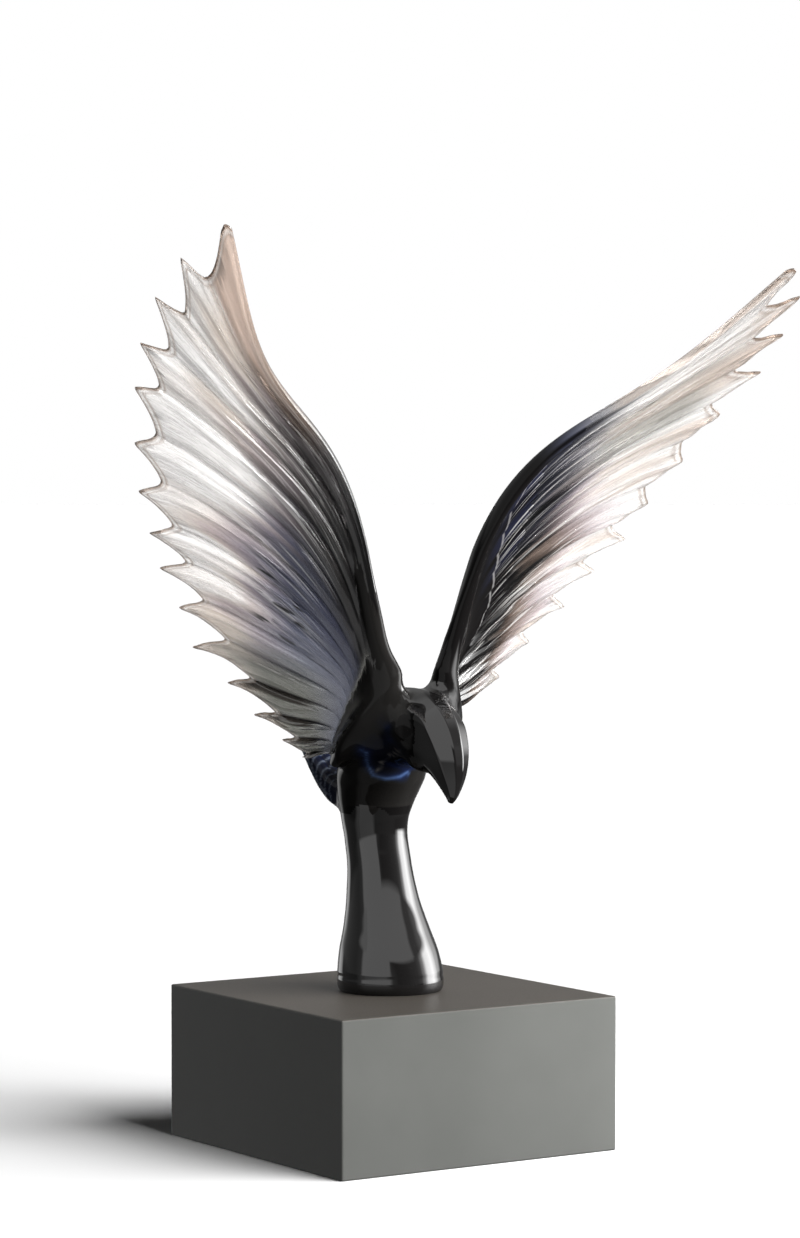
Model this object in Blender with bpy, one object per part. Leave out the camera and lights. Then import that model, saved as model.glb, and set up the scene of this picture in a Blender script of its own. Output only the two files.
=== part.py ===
"""Eagle statue: one cast resin eagle with raised wings on a square plinth.

Frame: +Z up, origin at the centre of the plinth's underside, the bird faces -Y,
its wings rise to -X and +X.  Lengths below are millimetres and are turned into
metres when a mesh is made.
"""
import math

import bpy
import bmesh
import numpy as np
from mathutils import Vector

MM = 0.001

# ---------------------------------------------------------------- driving sizes
PLINTH_SIDE = 170.0          # square block, side
PLINTH_HEIGHT = 81.0         # block height
PLINTH_BEVEL = 0.9           # eased edges
SEAT_GAP = 0.3               # between the block and the resin foot

# A wing is one curved sheet: a Bezier patch.  Rows run from the shoulder to the
# feather tips, columns from the lowest feather to the leading edge.  The net is
# for the wing on +X; the other one is its mirror image.
WING_NET = (
    ((29, 8, 203), (26, -2, 212), (25, -35, 237), (5, -23, 243)),
    ((27, 10, 209), (16, -9, 269), (30, -17, 266), (44, -11, 288)),
    ((36, 15, 208), (51, 13, 250), (37, -15, 305), (11, -50, 397)),
    ((39, 18, 204), (79, 26, 244), (69, -28, 354), (114, -39, 377)),
    ((40, 19.5, 203.5), (102, 26, 278), (130, -40, 402), (107, -62, 392)),
    ((43, 20, 205), (119, 51, 278), (219, -39, 392), (165, -127, 469)),
)
# Where each feather's tip stands across the fan, 1 = leading edge, 0 = lowest.
FEATHERS = (1.0, 0.910, 0.842, 0.770, 0.700, 0.606, 0.522, 0.448, 0.385, 0.313,
            0.238, 0.165, 0.097, 0.041, 0.0)
SHOULDER = (5.0, -20.0, 240.0)       # the wings turn a little about this point

# The two wings are the same form, set a few degrees apart in the casting.
WINGS = {
    "right": dict(side=-1, turn=(-0.8, -0.9, 3.0), scale=1.0104,
                  notch_at=0.68, notch=(11.0, 15.0), low_reach=1.0),
    "left": dict(side=1, turn=(0.8, 0.9, -3.0), scale=0.9896,
                 notch_at=0.47, notch=(9.0, 18.5), low_reach=0.55),
}
SHEET_ROOT = 5.0             # sheet thickness at the shoulder
SHEET_TIP = 1.5              # and at the feather tips
RIDGE = 0.9                  # height of a feather's keel over its edges

# Arm: a tapering round limb along the shoulder and the leading edge.
# (x, y, z, radius) from the flank to where it meets the leading edge
SHOULDER_RUN = ((29, 8, 203, 5.0), (28.5, 1, 209, 7.5), (26, -9, 218, 9.0),
                (22, -18, 228, 10.0), (17.5, -24, 238, 10.0),
                (16.5, -25, 246, 8.0), (18.5, -24, 254, 6.2))
ARM_RADII = (5.4, 5.2, 5.2, 5.0, 4.6, 4.0, 3.3, 2.6, 1.9)
ARM_FROM, ARM_TO = 0.09, 0.86        # part of the leading edge it follows

# Body: stations (y, z, half width x, half depth, lean of the section in degrees)
BODY = (
    (0.5, PLINTH_HEIGHT + SEAT_GAP, 27.0, 27.0, 0), (0.5, 83.0, 28.2, 28.2, 0), (0.6, 88.5, 28.2, 28.2, 0),
    (1.2, 94.0, 27.6, 27.6, 0), (2.3, 102.0, 26.2, 26.2, 0), (4.5, 114.0, 22.8, 22.8, 0),
    (8.4, 131.0, 19.0, 19.0, 0), (11.6, 149.0, 17.0, 17.0, 0), (14.5, 161.0, 16.8, 16.8, 0),
    (16.0, 171.0, 18.0, 18.3, 0), (15.0, 180.0, 20.5, 19.5, 6), (12.0, 190.0, 23.0, 21.0, 14),
    (7.5, 201.0, 24.5, 22.5, 24), (1.0, 212.0, 24.0, 22.5, 38), (-8.0, 220.5, 21.5, 20.0, 54),
    (-19.0, 225.5, 18.5, 16.8, 74), (-31.0, 226.5, 16.0, 14.6, 96), (-41.5, 222.5, 14.8, 13.2, 118),
    (-48.4, 214.8, 13.2, 12.3, 140), (-52.4, 206.5, 11.2, 11.3, 156), (-55.0, 199.0, 8.6, 9.4, 166),
    (-56.6, 193.0, 5.8, 6.9, 172), (-57.2, 188.8, 3.6, 4.5, 178), (-57.0, 186.0, 2.4, 2.9, 186),
    (-56.2, 184.0, 1.2, 1.3, 196),
)
# Throat, from the breast to under the beak: stations (y, z, half width, half height)
THROAT = ((8, 212, 14.0, 13.0), (-8, 214.5, 18.0, 15.5), (-21, 216.0, 18.0, 15.5),
          (-32, 214.0, 15.6, 15.0), (-41, 210.0, 12.3, 13.5), (-48, 203.8, 7.6, 9.2))
# Tail: stations (y, z, half width, half thickness)
TAIL = ((14, 188, 13.0, 11.0), (30, 181.5, 14.5, 8.0), (43, 187.5, 16.0, 6.0),
        (53, 197.0, 16.6, 4.8), (61, 206.0, 17.0, 3.0))
TAIL_FEATHERS = 5
TAIL_GROOVE = 1.1            # depth between two tail feathers at the tail's end

COLOURS = {   # base colour, roughness, metallic
    "eagle": ((0.050, 0.050, 0.062), 0.12, 0.0),
    "plinth": ((0.095, 0.092, 0.086), 0.42, 0.0),
}


# ------------------------------------------------------------------ small tools
def bernstein(n, t):
    t = np.asarray(t, float)
    return np.stack([math.comb(n, i) * t ** i * (1 - t) ** (n - i) for i in range(n + 1)], -1)


NET = np.array(WING_NET, float)


def sheet(s, t):
    """Point of the wing's middle surface: s across the fan, t along the feather."""
    return np.einsum("...j,...k,jkc->...c", bernstein(NET.shape[0] - 1, t),
                     bernstein(NET.shape[1] - 1, s), NET)


def sheet_normal(s, t):
    e = 0.004
    ds = sheet(np.minimum(s + e, 1), t) - sheet(np.maximum(s - e, 0), t)
    dt = sheet(s, np.minimum(t + e, 1.05)) - sheet(s, np.maximum(t - e, 0))
    n = np.cross(dt, ds)
    return n / np.maximum(np.linalg.norm(n, axis=-1, keepdims=True), 1e-9)


def turned(points, wing):
    """Set the +X form as one of the two wings."""
    p = np.array(points, float) - SHOULDER
    ax, ay, az = (math.radians(a) for a in wing["turn"])
    rx = np.array([[1, 0, 0], [0, math.cos(ax), -math.sin(ax)], [0, math.sin(ax), math.cos(ax)]])
    ry = np.array([[math.cos(ay), 0, math.sin(ay)], [0, 1, 0], [-math.sin(ay), 0, math.cos(ay)]])
    rz = np.array([[math.cos(az), -math.sin(az), 0], [math.sin(az), math.cos(az), 0], [0, 0, 1]])
    p = p @ (rz @ ry @ rx).T * wing["scale"] + SHOULDER
    p[..., 0] *= wing["side"]
    return p


def new_object(name, verts, faces, material=None):
    mesh = bpy.data.meshes.new(name)
    bm = bmesh.new()
    vs = [bm.verts.new(Vector(v) * MM) for v in verts]
    for f in faces:
        try:
            bm.faces.new([vs[i] for i in f])
        except ValueError:
            pass
    bmesh.ops.recalc_face_normals(bm, faces=bm.faces)
    bm.to_mesh(mesh)
    bm.free()
    obj = bpy.data.objects.new(name, mesh)
    bpy.context.scene.collection.objects.link(obj)
    if material:
        mesh.materials.append(material)
    return obj


def principled(name):
    colour, rough, metal = COLOURS[name]
    mat = bpy.data.materials.new(name)
    mat.use_nodes = True
    shader = mat.node_tree.nodes["Principled BSDF"]
    shader.inputs["Base Color"].default_value = (*colour, 1.0)
    shader.inputs["Roughness"].default_value = rough
    shader.inputs["Metallic"].default_value = metal
    return mat


def rings_to_faces(rings, sides):
    """Side faces of a closed loft, and an end cap at each end."""
    faces = []
    for r in range(rings - 1):
        for k in range(sides):
            a, b = r * sides + k, r * sides + (k + 1) % sides
            faces.append((a, b, b + sides, a + sides))
    faces.append(tuple(range(sides))[::-1])
    faces.append(tuple((rings - 1) * sides + k for k in range(sides)))
    return faces


# -------------------------------------------------------------------- the wings
def feather_stations(wing, per_edge=2):
    """Columns across the fan with the reach of each: tip, notch, tip, notch ..."""
    tips = FEATHERS
    cols = []                                   # (s, reach, keel 0..1)
    for i, tip in enumerate(tips):
        if i == 0:                              # rounded nose of the leading edge
            cols += [(1.0, 1.0, 0.3), (0.985, 1.0, 1.0), (0.962, 0.995, 0.7)]
            tip = 0.962
        else:
            cols.append((tip, 1.0, 1.0))
        if i + 1 == len(tips):
            break
        low = tips[i + 1]
        notch_s = tip + (low - tip) * wing["notch_at"]
        length = float(np.linalg.norm(np.diff(sheet(np.full(30, notch_s), np.linspace(0, 1, 30)),
                                              axis=0), axis=1).sum())
        depth = wing["notch"][0] + (wing["notch"][1] - wing["notch"][0]) * (1 - notch_s)
        depth = min(depth, 0.3 * length)
        notch_r = 1 - depth / length
        for k in range(1, per_edge):            # long lower edge of the tooth
            f = k / per_edge
            cols.append((tip + (notch_s - tip) * f, 1 + (notch_r - 1) * f ** 0.9, 1 - 0.6 * f))
        cols.append((notch_s, notch_r, 0.0))
        f = 0.5                                 # short upper edge of the next one
        cols.append((notch_s + (low - notch_s) * f, notch_r + (1 - notch_r) * f * 1.1, 0.5))
    # the lowest three feathers of one wing are short
    return [(c, r * (1 + (wing["low_reach"] - 1) * min(1, max(0, (0.16 - c) / 0.05))), k)
            for c, r, k in cols]


ROWS = (0.0, 0.09, 0.18, 0.28, 0.39, 0.51, 0.63, 0.75, 0.87, 1.0)


def make_wing(name, wing):
    cols = feather_stations(wing)
    s = np.array([c[0] for c in cols])[:, None]
    reach = np.array([c[1] for c in cols])[:, None]
    keel = np.array([c[2] for c in cols])[:, None]
    tau = np.array(ROWS)[None, :]
    t = tau * reach
    s = s * (1 - 0.30 * np.clip(1 - t / 0.12, 0, 1) ** 2)   # the root tucks into the arm
    mid = sheet(s, t)
    normal = sheet_normal(s, t)
    thick = SHEET_TIP + (SHEET_ROOT - SHEET_TIP) * (1 - t) ** 1.1
    fade = np.clip((tau - 0.15) / 0.35, 0, 1)
    swell = RIDGE * (keel - 0.35) * fade * np.clip(1.25 - tau, 0.35, 1)
    half = np.maximum(0.5 * thick + swell, 0.55)
    nose = np.clip((1 - s[:, -1:]) / 0.03, 0, 1)    # the leading edge is rounded
    half = half * (0.45 + 0.55 * np.sqrt(nose))
    front = turned(mid + normal * half[..., None], wing)
    back = turned(mid - normal * half[..., None], wing)
    nc, nr = mid.shape[:2]
    verts = np.concatenate([front.reshape(-1, 3), back.reshape(-1, 3)])
    off = nc * nr
    faces = []
    for i in range(nc - 1):
        for j in range(nr - 1):
            a = i * nr + j
            faces.append((a, a + 1, a + nr + 1, a + nr))
            faces.append((off + a, off + a + nr, off + a + nr + 1, off + a + 1))
    for i in range(nc - 1):                     # root edge and feather edge
        for j in (0, nr - 1):
            a, b = i * nr + j, (i + 1) * nr + j
            faces.append((a, b, off + b, off + a))
    for j in range(nr - 1):                     # lowest feather and leading edge
        for i in (0, nc - 1):
            a = i * nr + j
            faces.append((a, a + 1, off + a + 1, off + a))
    return new_object(name, verts, faces)


def make_arm(name, wing, sides=12):
    pts = [np.array(p[:3], float) for p in SHOULDER_RUN]
    rad = [p[3] for p in SHOULDER_RUN]
    for k, r in enumerate(ARM_RADII):
        t = ARM_FROM + (ARM_TO - ARM_FROM) * k / (len(ARM_RADII) - 1)
        edge, inner = sheet(1.0, t), sheet(0.93, t)
        along = sheet(1.0, t + 0.01) - sheet(1.0, t - 0.01)
        along /= np.linalg.norm(along)
        d = inner - edge
        d -= along * (d @ along)                # square to the leading edge
        pts.append(edge + d / np.linalg.norm(d) * r * 0.95)
        rad.append(r)
    pts = turned(np.array(pts), wing)
    tangents = np.gradient(pts, axis=0)
    tangents /= np.linalg.norm(tangents, axis=1)[:, None]
    verts = []
    up = np.array([0.0, -1.0, 0.0])
    for k, (p, tan, r) in enumerate(zip(pts, tangents, rad)):
        u = up - tan * (up @ tan)
        u /= np.linalg.norm(u)
        v = np.cross(tan, u)
        up = u
        for a in range(sides):
            w = 2 * math.pi * a / sides
            verts.append(p + r * (math.cos(w) * u + math.sin(w) * v))
    # rounded ends
    first, last = pts[0] - tangents[0] * rad[0] * 0.6, pts[-1] + tangents[-1] * rad[-1] * 1.5
    n = len(verts)
    verts += [first, last]
    faces = rings_to_faces(len(pts), sides)[:-2]
    for k in range(sides):
        faces.append((n, (k + 1) % sides, k))
        a = (len(pts) - 1) * sides
        faces.append((n + 1, a + k, a + (k + 1) % sides))
    return new_object(name, verts, faces)


# ------------------------------------------------------- column, trunk and head
def make_body(name, sides=24):
    verts = []
    for y, z, rx, rd, lean in BODY:
        a = math.radians(lean)
        fwd = np.array([0.0, math.cos(a), math.sin(a)])      # depth axis of the section
        for k in range(sides):
            w = 2 * math.pi * k / sides
            verts.append(np.array([rx * math.cos(w), y, z]) + fwd * rd * math.sin(w))
    return new_object(name, verts, rings_to_faces(len(BODY), sides))


def make_throat(name, sides=20):
    verts = []
    for y, z, hw, hh in THROAT:
        for k in range(sides):
            w = 2 * math.pi * k / sides
            verts.append((hw * math.cos(w), y, z + hh * math.sin(w)))
    return new_object(name, verts, rings_to_faces(len(THROAT), sides))


def make_tail(name, sides=4 * TAIL_FEATHERS):
    pts = np.array([(0, y, z) for y, z, _, _ in TAIL], float)
    tan = np.gradient(pts, axis=0)
    tan /= np.linalg.norm(tan, axis=1)[:, None]
    verts = []
    for i, ((y, z, hw, ht), p, d) in enumerate(zip(TAIL, pts, tan)):
        depth = TAIL_GROOVE * i / (len(TAIL) - 1)
        up = np.cross([1.0, 0.0, 0.0], d)
        up /= np.linalg.norm(up)
        for k in range(sides):
            w = 2 * math.pi * k / sides
            c, s = math.cos(w), math.sin(w)
            x = hw * math.copysign(abs(c) ** 0.45, c)
            high = ht * abs(s) ** 0.45
            if k % 2 == 0 and k % (sides // 2):     # a groove between two feathers
                high -= depth
            verts.append(p + np.array([x, 0, 0]) + up * math.copysign(high, s))
    return new_object(name, verts, rings_to_faces(len(TAIL), sides))


# ------------------------------------------------------------------------ build
def union(target, others):
    for o in others:
        mod = target.modifiers.new("join_" + o.name, "BOOLEAN")
        mod.operation = "UNION"
        mod.solver = "EXACT"
        mod.object = o
        o.hide_render = True
        o.display_type = "WIRE"


def main():
    for o in list(bpy.data.objects):
        bpy.data.objects.remove(o, do_unlink=True)

    eagle = make_body("eagle")
    eagle.data.materials.append(principled("eagle"))
    parts = [make_tail("tail_form"), make_throat("throat_form")]
    for key, wing in WINGS.items():
        parts.append(make_arm(key + "_arm_form", wing))
        parts.append(make_wing(key + "_wing_form", wing))
    union(eagle, parts)
    eagle.data.shade_smooth()
    eagle.data.set_sharp_from_angle(angle=math.radians(35))

    h = PLINTH_SIDE / 2
    verts = [(x * h, y * h, z) for z in (0, PLINTH_HEIGHT) for x, y in ((-1, -1), (1, -1), (1, 1), (-1, 1))]
    faces = [(0, 1, 2, 3), (4, 5, 6, 7), (0, 1, 5, 4), (1, 2, 6, 5), (2, 3, 7, 6), (3, 0, 4, 7)]
    plinth = new_object("plinth", verts, faces, principled("plinth"))
    bevel = plinth.modifiers.new("eased_edges", "BEVEL")
    bevel.width = PLINTH_BEVEL * MM
    bevel.segments = 2
    bevel.limit_method = "ANGLE"


main()
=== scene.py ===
"""Looks of the resin eagle statue: the fine relief of the casting, its resin and the satin plinth."""
import math

import bpy
import bmesh
import numpy as np
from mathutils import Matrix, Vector, kdtree


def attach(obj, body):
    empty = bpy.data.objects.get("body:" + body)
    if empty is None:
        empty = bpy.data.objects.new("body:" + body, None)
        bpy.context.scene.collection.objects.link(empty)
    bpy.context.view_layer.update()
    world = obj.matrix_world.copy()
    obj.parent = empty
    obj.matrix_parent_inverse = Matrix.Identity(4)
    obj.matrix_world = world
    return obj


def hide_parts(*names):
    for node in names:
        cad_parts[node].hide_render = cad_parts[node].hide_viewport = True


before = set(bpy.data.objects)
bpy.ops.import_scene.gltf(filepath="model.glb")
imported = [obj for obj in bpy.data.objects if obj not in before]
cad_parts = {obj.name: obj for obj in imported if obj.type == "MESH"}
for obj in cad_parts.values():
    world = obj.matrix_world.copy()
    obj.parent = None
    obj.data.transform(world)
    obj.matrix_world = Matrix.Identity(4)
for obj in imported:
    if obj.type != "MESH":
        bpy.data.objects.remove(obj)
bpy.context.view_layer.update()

MM = 0.001
ROOT = "root"

# ------------------------------------------------ sizes shared with the solids (mm)
PLINTH_HEIGHT = 81.0
SEAT_GAP = 0.3
WING_NET = (
    ((29, 8, 203), (26, -2, 212), (25, -35, 237), (5, -23, 243)),
    ((27, 10, 209), (16, -9, 269), (30, -17, 266), (44, -11, 288)),
    ((36, 15, 208), (51, 13, 250), (37, -15, 305), (11, -50, 397)),
    ((39, 18, 204), (79, 26, 244), (69, -28, 354), (114, -39, 377)),
    ((40, 19.5, 203.5), (102, 26, 278), (130, -40, 402), (107, -62, 392)),
    ((43, 20, 205), (119, 51, 278), (219, -39, 392), (165, -127, 469)),
)
FEATHERS = (1.0, 0.910, 0.842, 0.770, 0.700, 0.606, 0.522, 0.448, 0.385, 0.313,
            0.238, 0.165, 0.097, 0.041, 0.0)
SHOULDER = np.array((5.0, -20.0, 240.0))
WINGS = {
    "right": dict(side=-1, turn=(-0.8, -0.9, 3.0), scale=1.0104,
                  notch_at=0.68, notch=(11.0, 15.0), low_reach=1.0, seed=11,
                  tips=(0.0, 4.6, 4.5, 2.6, 0.5, -0.8, 0.0, 0.0, 1.2, 1.2, 5.0, 2.0, 2.4, 1.0, 0.0)),
    "left": dict(side=1, turn=(0.8, 0.9, -3.0), scale=0.9896,
                 notch_at=0.47, notch=(9.0, 18.5), low_reach=0.55, seed=23,
                 tips=(1.0, 6.0, 5.0, 4.5, -2.5, -4.0, -3.5, 2.5, 1.0, 2.5, 0.5, 0.0, 0.0, 0.0, 0.0)),
}
SHOULDER_RUN = ((29, 8, 203, 5.0), (28.5, 1, 209, 7.5), (26, -9, 218, 9.0),
                (22, -18, 228, 10.0), (17.5, -24, 238, 10.0),
                (16.5, -25, 246, 8.0), (18.5, -24, 254, 6.2))
BODY = (
    (0.5, PLINTH_HEIGHT + SEAT_GAP, 27.0, 27.0, 0), (0.5, 83.0, 28.2, 28.2, 0), (0.6, 88.5, 28.2, 28.2, 0),
    (1.2, 94.0, 27.6, 27.6, 0), (2.3, 102.0, 26.2, 26.2, 0), (4.5, 114.0, 22.8, 22.8, 0),
    (8.4, 131.0, 19.0, 19.0, 0), (11.6, 149.0, 17.0, 17.0, 0), (14.5, 161.0, 16.8, 16.8, 0),
    (16.0, 171.0, 18.0, 18.3, 0), (15.0, 180.0, 20.5, 19.5, 6), (12.0, 190.0, 23.0, 21.0, 14),
    (7.5, 201.0, 24.5, 22.5, 24), (1.0, 212.0, 24.0, 22.5, 38), (-8.0, 220.5, 21.5, 20.0, 54),
    (-19.0, 225.5, 18.5, 16.8, 74), (-31.0, 226.5, 16.0, 14.6, 96), (-41.5, 222.5, 14.8, 13.2, 118),
    (-48.4, 214.8, 13.2, 12.3, 140), (-52.4, 206.5, 11.2, 11.3, 156), (-55.0, 199.0, 8.6, 9.4, 166),
    (-56.6, 193.0, 5.8, 6.9, 172), (-57.2, 188.8, 3.6, 4.5, 178), (-57.0, 186.0, 2.4, 2.9, 186),
    (-56.2, 184.0, 1.2, 1.3, 196),
)
THROAT = ((8, 212, 14.0, 13.0), (-8, 214.5, 18.0, 15.5), (-21, 216.0, 18.0, 15.5),
          (-32, 214.0, 15.6, 15.0), (-41, 210.0, 12.3, 13.5), (-48, 203.8, 7.6, 9.2))
BREAST = ((9, 210, 5.0, 4.5), (3, 211.5, 11.0, 9.5), (-7, 213, 14.0, 12.5), (-15, 214, 13.5, 12.5),
          (-22, 215.5, 10.5, 10.0), (-27, 217, 5.0, 5.0))
NECK = ((-16, 221, 3.0, 4.0), (-21, 222, 6.0, 8.5), (-27, 223, 7.5, 11.0), (-33, 223, 6.5, 10.0),
        (-39, 221.5, 3.0, 5.0))
TAIL = ((14, 188, 13.0, 11.0), (30, 181.5, 14.5, 8.0), (43, 187.5, 16.0, 6.0),
        (53, 197.0, 16.6, 4.8), (61, 206.0, 17.0, 3.0))
TAIL_FEATHERS = 5

# Resin sheet and its relief (mm)
SHEET_ROOT, SHEET_TIP = 5.0, 2.0
RIB = 2.7                    # height of a feather's rounded rib over its grooves
STEP = 0.70                  # how far each feather stands over the next
STREAK = 0.42                # long uneven streaks along the feathers
# radius of the rounded leading edge along it
EDGE_T = (0.0, 0.09, 0.19, 0.28, 0.38, 0.48, 0.57, 0.67, 0.76, 0.86, 1.0)
EDGE_R = (6.6, 5.6, 5.3, 5.2, 5.0, 4.6, 4.0, 3.3, 2.6, 1.9, 1.1)


# ------------------------------------------------------------------ small tools
def bernstein(n, t):
    t = np.asarray(t, float)
    return np.stack([math.comb(n, i) * t ** i * (1 - t) ** (n - i) for i in range(n + 1)], -1)


NET = np.array(WING_NET, float)


def sheet(s, t):
    return np.einsum("...j,...k,jkc->...c", bernstein(NET.shape[0] - 1, t),
                     bernstein(NET.shape[1] - 1, s), NET)


def sheet_normal(s, t):
    e = 0.004
    ds = sheet(np.minimum(s + e, 1), t) - sheet(np.maximum(s - e, 0), t)
    dt = sheet(s, np.minimum(t + e, 1.05)) - sheet(s, np.maximum(t - e, 0))
    n = np.cross(dt, ds)
    return n / np.maximum(np.linalg.norm(n, axis=-1, keepdims=True), 1e-9)


def turned(points, wing):
    p = np.array(points, float) - SHOULDER
    ax, ay, az = (math.radians(a) for a in wing["turn"])
    rx = np.array([[1, 0, 0], [0, math.cos(ax), -math.sin(ax)], [0, math.sin(ax), math.cos(ax)]])
    ry = np.array([[math.cos(ay), 0, math.sin(ay)], [0, 1, 0], [-math.sin(ay), 0, math.cos(ay)]])
    rz = np.array([[math.cos(az), -math.sin(az), 0], [math.sin(az), math.cos(az), 0], [0, 0, 1]])
    p = p @ (rz @ ry @ rx).T * wing["scale"] + SHOULDER
    p[..., 0] *= wing["side"]
    return p


def smooth(x, a, b):
    f = np.clip((x - a) / (b - a), 0, 1)
    return f * f * (3 - 2 * f)


def arm_edge(s):
    """How far along the +X wing its smooth dark arm reaches, at each place across the fan."""
    return np.interp(s, (0, 0.25, 0.35, 0.42, 0.48, 0.55, 0.66, 0.74, 0.81, 0.87, 0.93, 0.96, 1),
                     (0.10, 0.14, 0.27, 0.38, 0.425, 0.42, 0.395, 0.388, 0.392, 0.40, 0.43, 0.56, 0.62))


def noise(x, y, seed):
    """Smooth value noise, -1..1, on a seeded lattice."""
    grid = np.random.default_rng(seed).uniform(-1, 1, (256, 256))
    xi, yi = np.floor(x).astype(int), np.floor(y).astype(int)
    fx, fy = x - xi, y - yi
    fx, fy = fx * fx * (3 - 2 * fx), fy * fy * (3 - 2 * fy)
    g = lambda i, j: grid[i % 256, j % 256]
    return ((g(xi, yi) * (1 - fx) + g(xi + 1, yi) * fx) * (1 - fy)
            + (g(xi, yi + 1) * (1 - fx) + g(xi + 1, yi + 1) * fx) * fy)


def pchip(xs, ys, x):
    """Monotone cubic through the stations."""
    xs, ys = np.asarray(xs, float), np.asarray(ys, float)
    h = np.diff(xs)
    d = np.diff(ys) / h
    m = np.zeros_like(ys)
    same = d[:-1] * d[1:] > 0
    w1, w2 = 2 * h[1:] + h[:-1], h[1:] + 2 * h[:-1]
    with np.errstate(divide="ignore", invalid="ignore"):
        mid = (w1 + w2) / (w1 / d[:-1] + w2 / d[1:])
    m[1:-1] = np.where(same, mid, 0)
    m[0], m[-1] = d[0], d[-1]
    k = np.clip(np.searchsorted(xs, x) - 1, 0, len(h) - 1)
    u = (x - xs[k]) / h[k]
    return (ys[k] * (2 * u ** 3 - 3 * u ** 2 + 1) + h[k] * m[k] * (u ** 3 - 2 * u ** 2 + u)
            + ys[k + 1] * (3 * u ** 2 - 2 * u ** 3) + h[k] * m[k + 1] * (u ** 3 - u ** 2))


def stations(rows, count, soften=2):
    """Resample lofting stations evenly along their path, then ease their kinks."""
    rows = np.array(rows, float)
    path = np.concatenate([[0], np.cumsum(np.maximum(np.linalg.norm(np.diff(rows[:, :2], axis=0), axis=1), 0.3))])
    x = np.linspace(0, path[-1], count)
    out = np.stack([pchip(path, rows[:, c], x) for c in range(rows.shape[1])], 1)
    for _ in range(soften):
        out[1:-1] = 0.25 * out[:-2] + 0.5 * out[1:-1] + 0.25 * out[2:]
    return out


def new_object(name, verts, faces):
    mesh = bpy.data.meshes.new(name)
    mesh.from_pydata([tuple(v) for v in np.asarray(verts, float) * MM], [], faces)
    bm = bmesh.new()
    bm.from_mesh(mesh)
    bmesh.ops.recalc_face_normals(bm, faces=bm.faces)
    bm.to_mesh(mesh)
    bm.free()
    obj = bpy.data.objects.new(name, mesh)
    bpy.context.scene.collection.objects.link(obj)
    return obj


def loft_faces(rings, sides):
    faces = [(r * sides + k, r * sides + (k + 1) % sides, (r + 1) * sides + (k + 1) % sides, (r + 1) * sides + k)
             for r in range(rings - 1) for k in range(sides)]
    faces.append(tuple(range(sides))[::-1])
    faces.append(tuple((rings - 1) * sides + k for k in range(sides)))
    return faces


# -------------------------------------------------------------------- the wings
LONG = (0.0, 0.03, 0.08, 0.16, 0.27, 0.39, 0.52, 0.65, 0.77, 0.87, 0.94, 0.985)
SHORT = (0.0, 0.13, 0.30, 0.50, 0.70, 0.85, 0.94, 0.98)


def columns(wing):
    """Columns across the fan: place s, reach, place in the feather u (-1 upper groove, 0 crest, 1 lower groove)."""
    out = []
    for s in (1.0, 0.9990, 0.9972, 0.9948, 0.9920, 0.9890):
        out.append((s, 1.0 - 0.012 * ((s - 0.985) / 0.015) ** 2, -(s - 0.985) / 0.015 * 0.9))
    for i in range(len(FEATHERS) - 1):
        tip = 0.985 if i == 0 else FEATHERS[i]
        low = FEATHERS[i + 1]
        notch_s = tip + (low - tip) * wing["notch_at"]
        length = float(np.linalg.norm(np.diff(sheet(np.full(30, notch_s), np.linspace(0, 1, 30)),
                                              axis=0), axis=1).sum())
        depth = min(wing["notch"][0] + (wing["notch"][1] - wing["notch"][0]) * (1 - notch_s), 0.3 * length)
        low_r = 1 - depth / length
        blunt = 0.9 / length
        for f in LONG:                         # tip down to the notch, hollow, its tip a little blunt
            g = 1 - (1 - f) ** (2.1 if i == 0 else 1.65)
            out.append((tip + (notch_s - tip) * f, 1 + (low_r - 1) * g - blunt * max(0, 1 - f / 0.08) ** 2
                        + wing["tips"][i] / length * (1 - f) ** 1.6, f))
        for f in SHORT:                        # from the notch up the short side of the next tip
            g = f ** 1.55
            place = notch_s + (low - notch_s) * (0.012 + 0.988 * f)
            out.append((place, low_r + (1 - low_r) * g - blunt * max(0, 1 - (1 - f) / 0.15) ** 2
                        + wing["tips"][i + 1] / length * f ** 1.6, -(1 - f)))
    out.append((0.0, 1.0, 0.0))
    return [(s, r * (1 + (wing["low_reach"] - 1) * min(1, max(0, (0.16 - s) / 0.05))), u) for s, r, u in out]


EDGE_ROWS = (0.0, 0.12, 0.42, 0.95, 1.8, 2.7, 3.4, 4.2, 5.6)      # distance from the feather's end
PLAIN_ROWS = 46


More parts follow.
